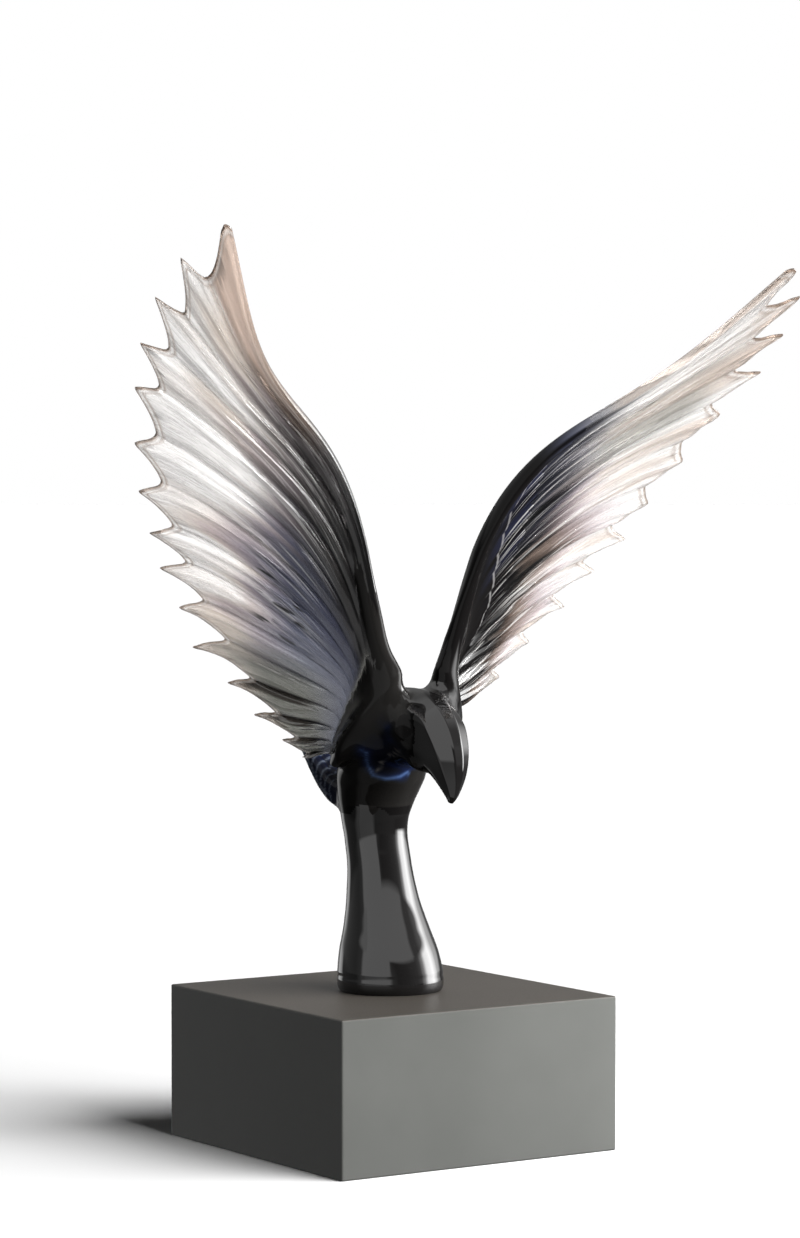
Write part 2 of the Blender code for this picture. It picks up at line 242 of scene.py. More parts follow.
def make_wing(name, wing):
    cols = columns(wing)
    s0 = np.array([c[0] for c in cols])[:, None]
    reach = np.array([c[1] for c in cols])[:, None]
    u = np.array([c[2] for c in cols])[:, None]
    length = np.linalg.norm(np.diff(sheet(np.repeat(s0, 25, 1), np.linspace(0, 1, 25)[None, :] * reach),
                                    axis=1), axis=2).sum(1)[:, None]
    squeeze = np.minimum(1, length / 60)
    ends = 1 - np.array(EDGE_ROWS)[::-1][None, :] * squeeze / length
    body = np.linspace(0, 1, PLAIN_ROWS)[None, :-1] ** 0.92 * ends[:, :1]
    tau = np.concatenate([body, ends], 1)
    t = tau * reach
    s = s0 * (1 - 0.30 * np.clip(1 - t / 0.12, 0, 1) ** 2)
    mid, normal = sheet(s, t), sheet_normal(s, t)
    from_edge = np.linalg.norm(mid - sheet(np.ones_like(s), t), axis=-1)
    from_end = (1 - tau) * length

    half = 0.5 * (SHEET_TIP + (SHEET_ROOT - SHEET_TIP) * np.clip(1 - t, 0, 1) ** 1.1)
    r = np.interp(t, EDGE_T, EDGE_R)
    d = from_edge - r
    front_edge = np.sqrt(np.clip(r * r - d * d, 0, None))
    behind = half + np.maximum(r - half, 0) * np.exp(-(np.maximum(d, 0) / (1.7 * r)) ** 2)
    thick = np.where(d < 0, front_edge, behind)
    thick = np.maximum(thick, 0.10)
    limb = np.exp(-(from_edge / (2.0 * r)) ** 2)          # 1 on the rounded leading edge

    fade = smooth(t, 0.10, 0.46) * (1 - limb)
    if wing["side"] > 0:
        fade = fade * smooth(t - arm_edge(s), -0.08, 0.06)
    ends_off = smooth(from_end, 0.0, 9.0)
    grow = 0.55 + 0.45 * smooth(t, 0.2, 0.6)
    rib = RIB * grow * (1 - np.abs(u) ** 2.3 - 0.62) * (0.5 + 0.5 * ends_off)
    step = STEP * u * (0.6 + 0.4 * ends_off)
    sway = 0.012 * np.sin(7 * t + 5 * s)
    wander = 0.5 * noise(s * 14, t * 3, wing["seed"] + 3)
    fold = 0.34 * np.cos(2 * np.pi * (1.5 * u + wander)) * smooth(t, 0.25, 0.5)
    streak = STREAK * smooth(t, 0.35, 0.70) * (0.1 + 0.9 * smooth(s, 0.18, 0.45)) * (noise((s + sway) * 95, t * 4.5, wing["seed"]) + 0.5 * noise((s - sway) * 170, t * 8, wing["seed"] + 1))
    relief = fade * (rib + step + fold + streak)
    rim = np.sqrt(np.clip(1 - (1 - np.clip(from_end / 1.3, 0, 1)) ** 2, 0.02, 1))
    low_rim = np.sqrt(np.clip(1 - (1 - np.clip((s / 0.012), 0, 1)) ** 2, 0.03, 1))
    thick = thick * rim * low_rim
    front = turned(mid + normal * (thick + relief)[..., None], wing)
    back = turned(mid + normal * (-thick + 0.62 * relief)[..., None], wing)

    nc, nr = mid.shape[:2]
    verts = np.concatenate([front.reshape(-1, 3), back.reshape(-1, 3)])
    off = nc * nr
    faces = []
    for i in range(nc - 1):
        for j in range(nr - 1):
            a = i * nr + j
            faces.append((a, a + 1, a + nr + 1, a + nr))
            faces.append((off + a, off + a + nr, off + a + nr + 1, off + a + 1))
        for j in (0, nr - 1):
            a, b = i * nr + j, (i + 1) * nr + j
            faces.append((a, b, off + b, off + a))
    for j in range(nr - 1):
        for i in (0, nc - 1):
            a = i * nr + j
            faces.append((a, a + 1, off + a + 1, off + a))
    data = np.stack([s, t, np.broadcast_to(u, s.shape), from_end, limb], -1).reshape(-1, 5)
    return new_object(name, verts, faces), verts * MM, np.concatenate([data, data])


def make_limb(name, wing, sides=36, count=64):
    """The shoulder: a round limb from the flank up to the leading edge, which takes it in."""
    rows = [list(p) for p in SHOULDER_RUN]
    for t, r in ((0.11, 5.2), (0.15, 4.5), (0.20, 3.8)):
        edge, inner = sheet(1.0, t), sheet(0.93, t)
        along = sheet(1.0, t + 0.01) - sheet(1.0, t - 0.01)
        along /= np.linalg.norm(along)
        d = inner - edge
        d -= along * (d @ along)
        c = edge + d / np.linalg.norm(d) * np.interp(t, EDGE_T, EDGE_R)
        rows.append([*c, r])
    rows = np.array(rows, float)
    path = np.concatenate([[0], np.cumsum(np.linalg.norm(np.diff(rows[:, :3], axis=0), axis=1))])
    x = np.linspace(0, path[-1], count)
    fine = np.stack([pchip(path, rows[:, c], x) for c in range(4)], 1)
    for _ in range(6):
        fine[1:-1] = 0.25 * fine[:-2] + 0.5 * fine[1:-1] + 0.25 * fine[2:]
    pts, rad = turned(fine[:, :3], wing), fine[:, 3]
    tan = np.gradient(pts, axis=0)
    tan /= np.linalg.norm(tan, axis=1)[:, None]
    verts, up = [], np.array([0.0, -1.0, 0.0])
    # rounded ends: extra rings that close the limb like a dome
    rings = [(pts[0] - tan[0] * rad[0] * math.sin(a), tan[0], rad[0] * math.cos(a)) for a in (1.4, 1.1, 0.75, 0.38)]
    rings += list(zip(pts, tan, rad))
    rings += [(pts[-1] + tan[-1] * rad[-1] * math.sin(a), tan[-1], rad[-1] * math.cos(a)) for a in (0.38, 0.75, 1.1, 1.4)]
    for p, d, r in rings:
        w = up - d * (up @ d)
        w /= np.linalg.norm(w)
        v = np.cross(d, w)
        up = w
        for k in range(sides):
            a = 2 * math.pi * k / sides
            verts.append(p + r * (math.cos(a) * w + math.sin(a) * v))
    return new_object(name, verts, loft_faces(len(rings), sides))


# ------------------------------------------------------- column, trunk and head
FRONT = math.atan2(-0.836, -0.549)       # the column's crease stands here round its axis
CORNERS = (32.0, 76.0, 104.0, 148.0, 214.0, 326.0)       # the head's flats meet at these angles round its section


def flats(w):
    """Radius of the faceted section at angle w in degrees; the wide span underneath stays round."""
    for a, b in zip(CORNERS, CORNERS[1:] + (CORNERS[0] + 360,)):
        x = w if w >= a else w + 360
        if a <= x <= b and b - a < 100:
            return math.cos(math.radians((b - a) / 2)) / math.cos(math.radians(x - (a + b) / 2))
    return 1.0


def make_body(name, sides=108, count=164):
    verts = []
    steps = np.linalg.norm(np.diff(np.array(BODY)[:, :2], axis=0), axis=1)
    run = np.linspace(0, float(np.maximum(steps, 0.3).sum()), count)
    head = smooth(run, 148.0, 176.0)
    for (y, z, rx, rd, lean), h in zip(stations(BODY, count), head):
        a = math.radians(lean)
        fwd = np.array([0.0, math.cos(a), math.sin(a)])
        groove = 1 - 0.016 * math.exp(-((z - 89.2) / 0.7) ** 2)
        for k in range(sides):
            w = 2 * math.pi * k / sides
            off = (w - FRONT + math.pi) % (2 * math.pi) - math.pi
            crease = 1 + 0.020 * math.exp(-abs(off) / 0.16) * smooth(z, 89.5, 100.0) * (1 - smooth(z, 150.0, 172.0))
            g = groove * crease * (1 + h * (1.06 * flats(math.degrees(w)) - 1))
            verts.append(np.array([rx * g * math.cos(w), y, z]) + fwd * rd * g * math.sin(w))
    return new_object(name, verts, loft_faces(count, sides))


def make_throat(name, rows=THROAT, middle=0.0, sides=48, count=44):
    verts = []
    for y, z, hw, hh in stations(rows, count):
        for k in range(sides):
            w = 2 * math.pi * k / sides
            verts.append((middle + hw * math.cos(w), y, z + hh * math.sin(w)))
    return new_object(name, verts, loft_faces(count, sides))


def make_tail(name, sides=16 * TAIL_FEATHERS, count=84):
    rows = stations(TAIL, count)
    pts = np.stack([np.zeros(count), rows[:, 0], rows[:, 1]], 1)
    tan = np.gradient(pts, axis=0)
    tan /= np.linalg.norm(tan, axis=1)[:, None]
    verts = []
    for i, ((y, z, hw, ht), p, d) in enumerate(zip(rows, pts, tan)):
        up = np.cross([1.0, 0.0, 0.0], d)
        up /= np.linalg.norm(up)
        deep = 1.1 * i / (count - 1)
        for k in range(sides):
            w = 2 * math.pi * k / sides
            c, s = math.cos(w), math.sin(w)
            x = math.copysign(abs(c) ** 0.45, c)
            high = ht * abs(s) ** 0.45
            high -= deep * (1 - abs(math.sin(math.pi * TAIL_FEATHERS * (x + 1) / 2))) ** 2 * (abs(s) > 0.3)
            verts.append(p + np.array([hw * x, 0, 0]) + up * math.copysign(max(high, 0.0), s))
    return new_object(name, verts, loft_faces(count, sides))


# -------------------------------------------------------- join into one casting
eagle = make_body("eagle_casting")
others = [make_tail("tail_form"), make_throat("throat_form"),
          make_throat("breast_right", BREAST, -13.0, 36, 30), make_throat("breast_left", BREAST, 13.0, 36, 30),
          make_throat("neck_right", NECK, -16.0, 32, 26), make_throat("neck_left", NECK, 16.0, 32, 26)]
known, facts, sides_of = [], [], []
whole = [np.array([v.co for v in eagle.data.vertices])]
for key, wing in WINGS.items():
    others.append(make_limb(key + "_limb_form", wing))
    form, places, data = make_wing(key + "_wing_form", wing)
    others.append(form)
    known.append(places)
    facts.append(data)
    sides_of.append(np.full(len(places), wing["side"]))
for o in others:
    whole.append(np.array([v.co for v in o.data.vertices]))
    m = eagle.modifiers.new("join_" + o.name, "BOOLEAN")
    m.operation, m.solver, m.object = "UNION", "EXACT", o
depsgraph = bpy.context.evaluated_depsgraph_get()
joined = bpy.data.meshes.new_from_object(eagle.evaluated_get(depsgraph), depsgraph=depsgraph)
eagle.modifiers.clear()
eagle.data = joined
for o in others:
    bpy.data.objects.remove(o, do_unlink=True)
print("CASTING", len(joined.vertices), "points", sum(len(p.vertices) - 2 for p in joined.polygons), "triangles")

# ------------------------------------------------ what each point of it is made of
known, facts, sides_of = np.concatenate(known), np.concatenate(facts), np.concatenate(sides_of)
tree = kdtree.KDTree(len(known))
for i, p in enumerate(known):
    tree.insert(p, i)
tree.balance()
n = len(joined.vertices)
co = np.empty(n * 3)
joined.vertices.foreach_get("co", co)
co = co.reshape(-1, 3)
near = np.array([(lambda h: (h[1], h[2]))(tree.find(Vector(p))) for p in co])
index, gap = near[:, 0].astype(int), near[:, 1]
on_wing = gap < 0.00012
s, t, u, from_end, limb = facts[index].T
side = sides_of[index]


def nearest(points, places):
    found = kdtree.KDTree(len(points))
    for i, p in enumerate(points):
        found.insert(p, i)
    found.balance()
    return np.array([found.find(Vector(p))[2] for p in places])


# ease the seams where the forms meet, leaving the feathers as they are
seam = nearest(np.concatenate(whole), co) > 2e-6
ease = 1 - smooth(nearest(co[seam], co), 0.003, 0.012)
reach = 0.18 * smooth(s, 0.75, 0.90)
ease *= np.where(on_wing, 1 - smooth(t - reach, 0.12, 0.22), 1.0)
pairs = np.empty(len(joined.edges) * 2, int)
joined.edges.foreach_get("vertices", pairs)
one, two = pairs.reshape(-1, 2).T
links = np.bincount(one, minlength=n) + np.bincount(two, minlength=n)
form = co.copy()
for _ in range(60):
    for c in range(3):
        around = (np.bincount(one, form[two, c], n) + np.bincount(two, form[one, c], n)) / links
        form[:, c] += 0.6 * ease * (around - form[:, c])
joined.vertices.foreach_set("co", form.ravel())
joined.update()


def tone(r, g, b):
    c = np.array([r, g, b], float) / 255
    return np.where(c > 0.04045, ((c + 0.055) / 1.055) ** 2.4, c / 12.92)


INK, SOOT, SMOKE = tone(13, 12, 12), tone(34, 33, 33), tone(53, 51, 51)
SLATE, LAVENDER, MAUVE = tone(64, 67, 83), tone(118, 121, 135), tone(192, 177, 182)
BLUSH, TAUPE, BEIGE, PALE = tone(224, 203, 189), tone(200, 184, 172), tone(220, 209, 199), tone(243, 241, 239)
OLIVE, BROWN, NAVY, RIM = tone(124, 125, 119), tone(98, 82, 71), tone(27, 29, 44), tone(136, 115, 100)
ASH, UMBER_SHADE, SHEEN_STRIP, RULE = tone(172, 170, 164), tone(40, 37, 33), tone(122, 121, 116), tone(150, 146, 140)
TAIL_NAVY, TAIL_LINE, FLANK, PAINTED_GLOW = tone(16, 25, 54), tone(150, 160, 178), tone(12, 15, 30), tone(82, 108, 156)
BLUE, SHEEN_LIFT_BLACK = tone(26, 40, 84), tone(27, 26, 25)


def blend(a, b, f):
    """Even steps to the eye from a to b."""
    f = np.clip(f, 0, 1)[:, None]
    return (a ** (1 / 2.2) * (1 - f) + b ** (1 / 2.2) * f) ** 2.2


def wave(scale_s, scale_t, seed):
    """Uneven streaks that run along the feathers."""
    return noise(s * scale_s, t * scale_t, seed)


broad, streak, fine = wave(26, 2.4, 5), wave(60, 3.5, 6), wave(150, 7, 7)
calm = 0.25 + 0.75 * smooth(t, 0.30, 0.60)
streak, fine = streak * calm, fine * calm
# where each feather meets the next; darkened below as painted shade
groove = np.clip((np.abs(u) - 0.62) / 0.38, 0, 1) ** 2

# wing on -X: black root and leading edge, slate palm, then mauve, beige and clear
out = t + 0.05 * broad + 0.05 * streak + 0.02 * fine - 0.07 * (1 - smooth(s, 0.18, 0.34))
open_r = smooth(out - 0.05 * smooth(s, 0.74, 0.88) - 0.07 * smooth(s, 0.90, 0.94), 0.44, 0.79)
inner = blend(LAVENDER, SLATE, smooth(s + 0.05 * streak, 0.28, 0.52))
inner = blend(inner, SMOKE, smooth(s + 0.06 * streak, 0.55, 0.72))
inner = blend(inner, INK, smooth(s, 0.48, 0.68) * (1 - smooth(t + 0.03 * broad, 0.24, 0.50)))
# darker streaks in the resin, and painted shade darkening the grooves between feathers
inner = blend(inner, SOOT, 0.8 * smooth(0.5 * streak + 0.6 * fine + 0.7 * groove, 0.12, 0.8) * smooth(s, 0.42, 0.66))
inner = blend(inner, SOOT, (1 - smooth(t, 0.10, 0.20)) * (1 - smooth(s, 0.12, 0.26)))
outer = blend(MAUVE, BEIGE, smooth(out + 0.10 * streak, 0.62, 0.80))
outer = blend(outer, PALE, smooth(out + 0.20 * broad - 0.14 * streak + 0.06 * smooth(s, 0.45, 0.60), 0.66, 0.90))
outer = blend(outer, TAUPE, (0.42 - 0.25 * smooth(t, 0.70, 0.85)) * smooth(-streak + 0.3 * fine, 0.05, 0.6))
outer = blend(outer, BLUSH, smooth(s, 0.925, 0.95))
tint_r = blend(inner, BROWN, smooth(s, 0.90, 0.95) * smooth(t, 0.46, 0.60))
tint_r = blend(tint_r, outer, open_r)
low = 1 - smooth(s + 0.02 * streak, 0.20, 0.36)
lower = blend(OLIVE, BEIGE, smooth(out, 0.58, 0.95))
# painted shade on the low feathers: the upper side of each and the grooves between them darkened as if in shadow
shade_side = np.maximum(smooth(-u, -0.15, 0.25), smooth(u, 0.85, 0.97))
lower = blend(lower, UMBER_SHADE, 0.92 * shade_side * smooth(t, 0.34, 0.52) * (1 - smooth(s, 0.20, 0.28)))
lower = blend(lower, INK, 0.8 * smooth(np.abs(u), 0.80, 0.94) * smooth(t, 0.12, 0.25) * (1 - smooth(t, 0.66, 0.86)))
lower = blend(lower, SOOT, 1 - smooth(t, 0.12, 0.30))
tint_r = blend(tint_r, lower, low * smooth(t, 0.12, 0.5))
# wing on +X: black with deep blue, thin pale streaks, then brown, mauve and white
out = t + 0.05 * broad + 0.06 * streak + 0.03 * fine - 0.06 * (1 - smooth(s, 0.5, 0.8))
open_l = smooth(out - 0.04 * smooth(s, 0.93, 0.96), 0.54 - 0.03 * smooth(s, 0.5, 0.75), 0.74)
inner = blend(INK, NAVY, smooth(s, 0.42, 0.62) * np.clip(0.4 + 0.9 * broad, 0, 1) * smooth(t - arm_edge(s), -0.12, 0.02))
inner = blend(inner, SLATE, smooth(s, 0.70, 0.82) * smooth(t, 0.44, 0.56) * np.clip(0.5 + 0.9 * streak, 0, 1))
inner = blend(inner, TAUPE, 0.5 * smooth(fine + 0.25 * streak, 0.55, 0.85) * smooth(t - arm_edge(s), 0.0, 0.05) * (1 - smooth(s, 0.72, 0.90)))
outer = blend(MAUVE, PALE, np.clip(smooth(out, 0.60, 0.84) + 0.7 * smooth(s, 0.66, 0.80), 0, 1))
outer = blend(outer, TAUPE, 0.6 * smooth(streak - 0.2 * fine, 0.0, 0.5))
outer = blend(outer, ASH, 0.75 * smooth(s, 0.70, 0.76) * (1 - smooth(s, 0.86, 0.90)) * smooth(t, 0.64, 0.72) * (1 - smooth(t, 0.88, 0.95)))
outer = blend(outer, TAUPE, 0.75 * smooth(s, 0.80, 0.83) * (1 - smooth(s, 0.855, 0.88)) * smooth(t, 0.62, 0.75))
outer = blend(outer, OLIVE, 0.85 * (1 - smooth(s, 0.08, 0.28)) * (1 - smooth(t, 0.85, 1.0)))
outer = blend(outer, PALE, 0.9 * smooth(s, 0.87, 0.93) * (1 - smooth(t, 0.93, 0.98)))
tint_l = blend(inner, BROWN, smooth(out, 0.50, 0.62) * (1 - smooth(s, 0.5, 0.75)))
tint_l = blend(tint_l, outer, open_l)

tint_l = blend(tint_l, TAUPE, smooth(s, 0.984, 0.994) * smooth(t, 0.64, 0.70))
right = side < 0
tint = np.where(right[:, None], tint_r, tint_l)
light = np.where(right, open_r, open_l)
# painted highlight: a pale shine line in each groove; painted shade: the brown outline of the feather ends, standing
# in for the dark refraction at their clear edges
tint = blend(tint, PALE, 0.40 * light * np.clip((u - 0.80) / 0.12, 0, 1))
rim = (1 - smooth(from_end, 0.5, 1.5)) * smooth(t, 0.35, 0.6)
ends = np.exp(-((from_end - 2.3) / 1.2) ** 2) * smooth(t, 0.5, 0.7)
tint = blend(tint, PALE, 0.7 * ends)
tint = blend(tint, RIM, 0.55 * np.exp(-((from_end - 3.6 - 0.8 * streak) / 0.5) ** 2) * smooth(t, 0.5, 0.7))
tint = blend(tint, RIM, rim * 0.85)
root = smooth(t, 0.08, 0.15)
# painted sheen: a lighter grey strip along the -X wing's root stands in for reflections the duller resin there lacks
tint = blend(blend(np.tile(INK, (n, 1)), tint, root), np.tile(SHEEN_STRIP, (n, 1)),
             right * (1 - root) * smooth(s, 0.02, 0.08) * (1 - smooth(s, 0.62, 0.80)))
# painted sheen: where the resin shines less (belly, neck, arms, tail) it gets a lighter black than elsewhere, standing
# in for the reflections and light it lacks
sheen_lift_zone = ((co[:, 1] > -36 * MM) & (co[:, 2] > 178 * MM) & ((co[:, 0] < 8 * MM) | (co[:, 2] < 225 * MM)))[:, None]
tint = np.where(on_wing[:, None], tint, np.where(sheen_lift_zone, SHEEN_LIFT_BLACK, INK))

# body: navy tail with pale stripes in its grooves, and a painted blue glow under a navy flank: a blue V with a bright
# line, standing in for light through the resin
x, y, z = -np.abs(co[:, 0]) / MM, co[:, 1] / MM, co[:, 2] / MM


def by_line(points, width):
    """1 on a line through points given for the bird's -X half, fading over its width."""
    points = np.array(points, float)
    place = np.stack([x, y, z], 1)
    gap = np.full(n, 1e9)
    for a, b in zip(points[:-1], points[1:]):
        f = np.clip(((place - a) @ (b - a)) / ((b - a) @ (b - a)), 0, 1)
        gap = np.minimum(gap, np.linalg.norm(place - a - f[:, None] * (b - a), axis=1))
    return np.exp(-(gap / width) ** 2)


off_wing = ~on_wing
on_tail = off_wing * smooth(y, 27.0, 31.0)
across = (y - 0.25 * x) / 4.0
stripe = np.exp(-((across - np.round(across)) / 0.13) ** 2) * smooth(y, 33.0, 37.0)
edge = by_line(((-15.9, 36.0, 181.5), (-15.9, 41.3, 183.7), (-16.4, 47.0, 189.0), (-16.7, 53.0, 196.0), (-17.0, 60.0, 204.0)), 0.9)
tint = blend(tint, TAIL_NAVY, on_tail)
tint = blend(tint, TAIL_LINE, on_tail * np.clip(stripe + edge + smooth(y, 58.5, 60.5), 0, 1))
near = np.linalg.norm(np.stack([x + 17.0, y + 22.0, z - 207.0], 1), axis=1)
bow = ((-26.1, -13.5, 209.8), (-20.6, -8.5, 202.4), (-16.5, -7.9, 195.9), (-10.6, -11.4, 194.0),
       (-3.4, -14.1, 195.1), (0.0, -15.7, 197.2))
far = 1 - smooth(co[:, 0] / MM, 0.5, 2.5) * (1 - smooth(co[:, 0] / MM, 16.0, 19.0))
tint = blend(tint, FLANK, off_wing * 0.9 * (1 - smooth(near, 9.0, 16.0)))
# painted glow: a blue V along the bow stands in for light shining through the resin
tint = blend(tint, BLUE, off_wing * far * 0.7 * by_line(bow, 3.8) * smooth(z + 0.3 * x, 189.5, 193.0))
tint = blend(tint, BLUE, off_wing * 0.6 * by_line(((-22.5, -29.9, 223.0), (-19.5, -29.0, 214.5)), 3.0))
# painted glow: a broader blue fill above the V
tint = blend(tint, BLUE, off_wing * 0.6 * by_line(((-12.0, -17.0, 203.5), (-7.0, -18.0, 201.0), (-1.5, -17.5, 199.5)), 2.5))
# painted glow: a brighter blue line along the V
tint = blend(tint, PAINTED_GLOW, off_wing * far * by_line(bow, 1.1))
tint = blend(tint, RULE, off_wing * 0.8 * by_line(((-15.3, -10.6, 198.5), (-14.8, -17.8, 203.9), (-16.1, -25.5, 208.8),
                                                   (-16.1, -31.2, 211.3)), 0.8))
# painted sheen: the same lighter grey strip on the -X arm beside the wing's root
tint = blend(tint, SHEEN_STRIP, off_wing * right * (1 - smooth(gap / MM, 3.0, 5.0)) * smooth(z, 203.0, 208.0)
             * (1 - smooth(z, 230.0, 238.0)) * smooth(-x, 26.0, 29.0))

layer = joined.attributes.new("tint", "FLOAT_COLOR", "POINT")
layer.data.foreach_set("color", np.concatenate([tint, np.ones((n, 1))], 1).ravel())
# where the fan carries pale hair lines, dark dashes and fine flow lines, and the line where the +X arm ends
past = t - arm_edge(s)
dark_end = np.where(right, np.interp(s, (0, 0.55, 0.75, 0.85, 1), (0.055, 0.06, 0.07, 0.15, 0.21)),
                    np.maximum(arm_edge(s), np.interp(s, (0, 0.38, 0.48, 1), (0, 0.20, 0.505, 0.505))))
arm = on_wing & (t < dark_end)
lines = np.where(right, 0.30 * smooth(s, 0.25, 0.45) * smooth(t, 0.30, 0.45) * (1 - smooth(t, 0.75, 0.9)),
                 (0.22 + 0.55 * smooth(past, 0.06, 0.20)) * smooth(past, 0.0, 0.03) * (0.2 + 0.8 * smooth(s, 0.10, 0.30)) * (1 - smooth(t, 0.80, 0.94)) * (1 - smooth(s, 0.93, 0.965)))
dashes = np.where(right, smooth(t, 0.42, 0.48) * (1 - smooth(t, 0.64, 0.72)) * smooth(s, 0.32, 0.36) * (1 - smooth(s, 0.48, 0.54)), 0.0)
dashes = np.maximum(dashes, 0.4 * (np.abs(u) < 0.8) * smooth(t, 0.6, 0.7) * smooth(from_end, 1.5, 2.5) * (1 - smooth(from_end, 8.0, 11.0)))
flow = smooth(t, 0.30, 0.70) * (0.08 + 0.92 * smooth(s, 0.18, 0.42)) * (1 - 0.9 * smooth(s, 0.95, 0.975))
flow *= np.where(right, 1.0, smooth(past, 0.0, 0.05))
marks = np.stack([lines, dashes, flow, np.where(right | (s < 0.42) | (s > 0.955), 0.0, np.clip(0.5 + 2 * past, 0, 1))], 1)
marks[~on_wing] = 0.0
layer = joined.attributes.new("marks", "FLOAT_COLOR", "POINT")
layer.data.foreach_set("color", marks.ravel())
layer = joined.attributes.new("fan", "FLOAT_VECTOR", "POINT")
layer.data.foreach_set("vector", np.where(on_wing[:, None], np.stack([s, t, side * 0.5], 1), 0.0).ravel())
joined.shade_smooth()
joined.set_sharp_from_angle(angle=math.radians(42))


# ------------------------------------------------------------------- materials
def fresh(name):
    mat = bpy.data.materials.new(name)
    mat.use_nodes = True
    nt = mat.node_tree
    return mat, nt, nt.nodes["Principled BSDF"]


def attribute(nt, name):
    node = nt.nodes.new("ShaderNodeAttribute")
    node.attribute_name = name
    return node


def math_node(nt, op, a, b):
    node = nt.nodes.new("ShaderNodeMath")
    node.operation = op
    for sock, v in zip(node.inputs, (a, b)):
        if isinstance(v, (int, float)):
            sock.default_value = v
        else:
            nt.links.new(v, sock)
    return node.outputs[0]


def resin(name):
    """Glossy cast resin, coloured by its own tint, with fine flow lines along the feathers."""
    mat, nt, shader = fresh(name)
    tint_node, fan_node = attribute(nt, "tint"), attribute(nt, "fan")
    stretch = nt.nodes.new("ShaderNodeVectorMath")
    stretch.operation = "MULTIPLY"
    stretch.inputs[1].default_value = (210.0, 9.0, 5.0)
    nt.links.new(fan_node.outputs["Vector"], stretch.inputs[0])
    hair = nt.nodes.new("ShaderNodeTexNoise")
    hair.inputs["Scale"].default_value = 1.0
    hair.inputs["Detail"].default_value = 3.0
    nt.links.new(stretch.outputs[0], hair.inputs["Vector"])
    ramp = nt.nodes.new("ShaderNodeMapRange")
    ramp.inputs["From Min"].default_value, ramp.inputs["From Max"].default_value = 0.36, 0.64
    ramp.inputs["To Min"].default_value, ramp.inputs["To Max"].default_value = 0.82, 1.12
    nt.links.new(hair.outputs[0], ramp.inputs["Value"])
    apart, parts = nt.nodes.new("ShaderNodeSeparateXYZ"), nt.nodes.new("ShaderNodeSeparateColor")
    nt.links.new(fan_node.outputs["Vector"], apart.inputs[0])
    marked = attribute(nt, "marks")
    nt.links.new(marked.outputs["Color"], parts.inputs[0])
    flow = parts.outputs[2]
    amount = math_node(nt, "MULTIPLY_ADD", math_node(nt, "SUBTRACT", ramp.outputs[0], 1.0), flow)
    amount.node.inputs[2].default_value = 1.0
    shade = nt.nodes.new("ShaderNodeVectorMath")
    shade.operation = "MULTIPLY"
    nt.links.new(tint_node.outputs["Color"], shade.inputs[0])
    nt.links.new(amount, shade.inputs[1])
    colour = shade.outputs[0]
    # long pale hair lines that drift across the feathers, then short dark dashes
    for across, along, drift, low, high, mask, paint in ((230.0, 2.4, -21.0, 0.62, 0.665, 0, (0.86, 0.84, 0.82, 1)),
                                                         (150.0, 9.0, 5.0, 0.675, 0.71, 1, (0.012, 0.011, 0.012, 1))):
        place = nt.nodes.new("ShaderNodeCombineXYZ")
        drifted = math_node(nt, "MULTIPLY_ADD", apart.outputs["X"], across)
        nt.links.new(math_node(nt, "MULTIPLY", apart.outputs["Y"], drift), drifted.node.inputs[2])
        nt.links.new(drifted, place.inputs[0])
        nt.links.new(math_node(nt, "MULTIPLY", apart.outputs["Y"], along), place.inputs[1])
        nt.links.new(math_node(nt, "MULTIPLY", apart.outputs["Z"], 7.0 + 4 * mask), place.inputs[2])
        grain = nt.nodes.new("ShaderNodeTexNoise")
        grain.inputs["Scale"].default_value, grain.inputs["Detail"].default_value = 1.0, 0.0
        nt.links.new(place.outputs[0], grain.inputs["Vector"])
        found = nt.nodes.new("ShaderNodeMapRange")
        found.inputs["From Min"].default_value, found.inputs["From Max"].default_value = low, high
        nt.links.new(grain.outputs[0], found.inputs["Value"])
        painted = nt.nodes.new("ShaderNodeMix")
        painted.data_type = "RGBA"
        nt.links.new(math_node(nt, "MULTIPLY", found.outputs[0], parts.outputs[mask]), painted.inputs[0])
        nt.links.new(colour, painted.inputs[6])
        painted.inputs[7].default_value = paint
        colour = painted.outputs[2]
    away = math_node(nt, "ABSOLUTE", math_node(nt, "SUBTRACT", marked.outputs["Alpha"], 0.5), 0.0)
    found = nt.nodes.new("ShaderNodeMapRange")
    found.inputs["From Min"].default_value, found.inputs["From Max"].default_value = 0.004, 0.013
    found.inputs["To Min"].default_value, found.inputs["To Max"].default_value = 0.2, 0.0
    nt.links.new(away, found.inputs["Value"])
    painted = nt.nodes.new("ShaderNodeMix")
    painted.data_type = "RGBA"
    nt.links.new(found.outputs[0], painted.inputs[0])
    nt.links.new(colour, painted.inputs[6])
    painted.inputs[7].default_value = (0.55, 0.53, 0.53, 1)
    nt.links.new(painted.outputs[2], shader.inputs["Base Color"])
    rough = math_node(nt, "MULTIPLY_ADD", hair.outputs[0], 0.05)
    rough.node.inputs[2].default_value = 0.02
    nt.links.new(rough, shader.inputs["Roughness"])
    shader.inputs["IOR"].default_value = 1.49
    bump = nt.nodes.new("ShaderNodeBump")
    bump.inputs["Strength"].default_value = 0.25
    bump.inputs["Distance"].default_value = 0.0004
    on = math_node(nt, "MULTIPLY", hair.outputs[0], flow)
    nt.links.new(on, bump.inputs["Height"])
    nt.links.new(bump.outputs[0], shader.inputs["Normal"])
    return mat, shader


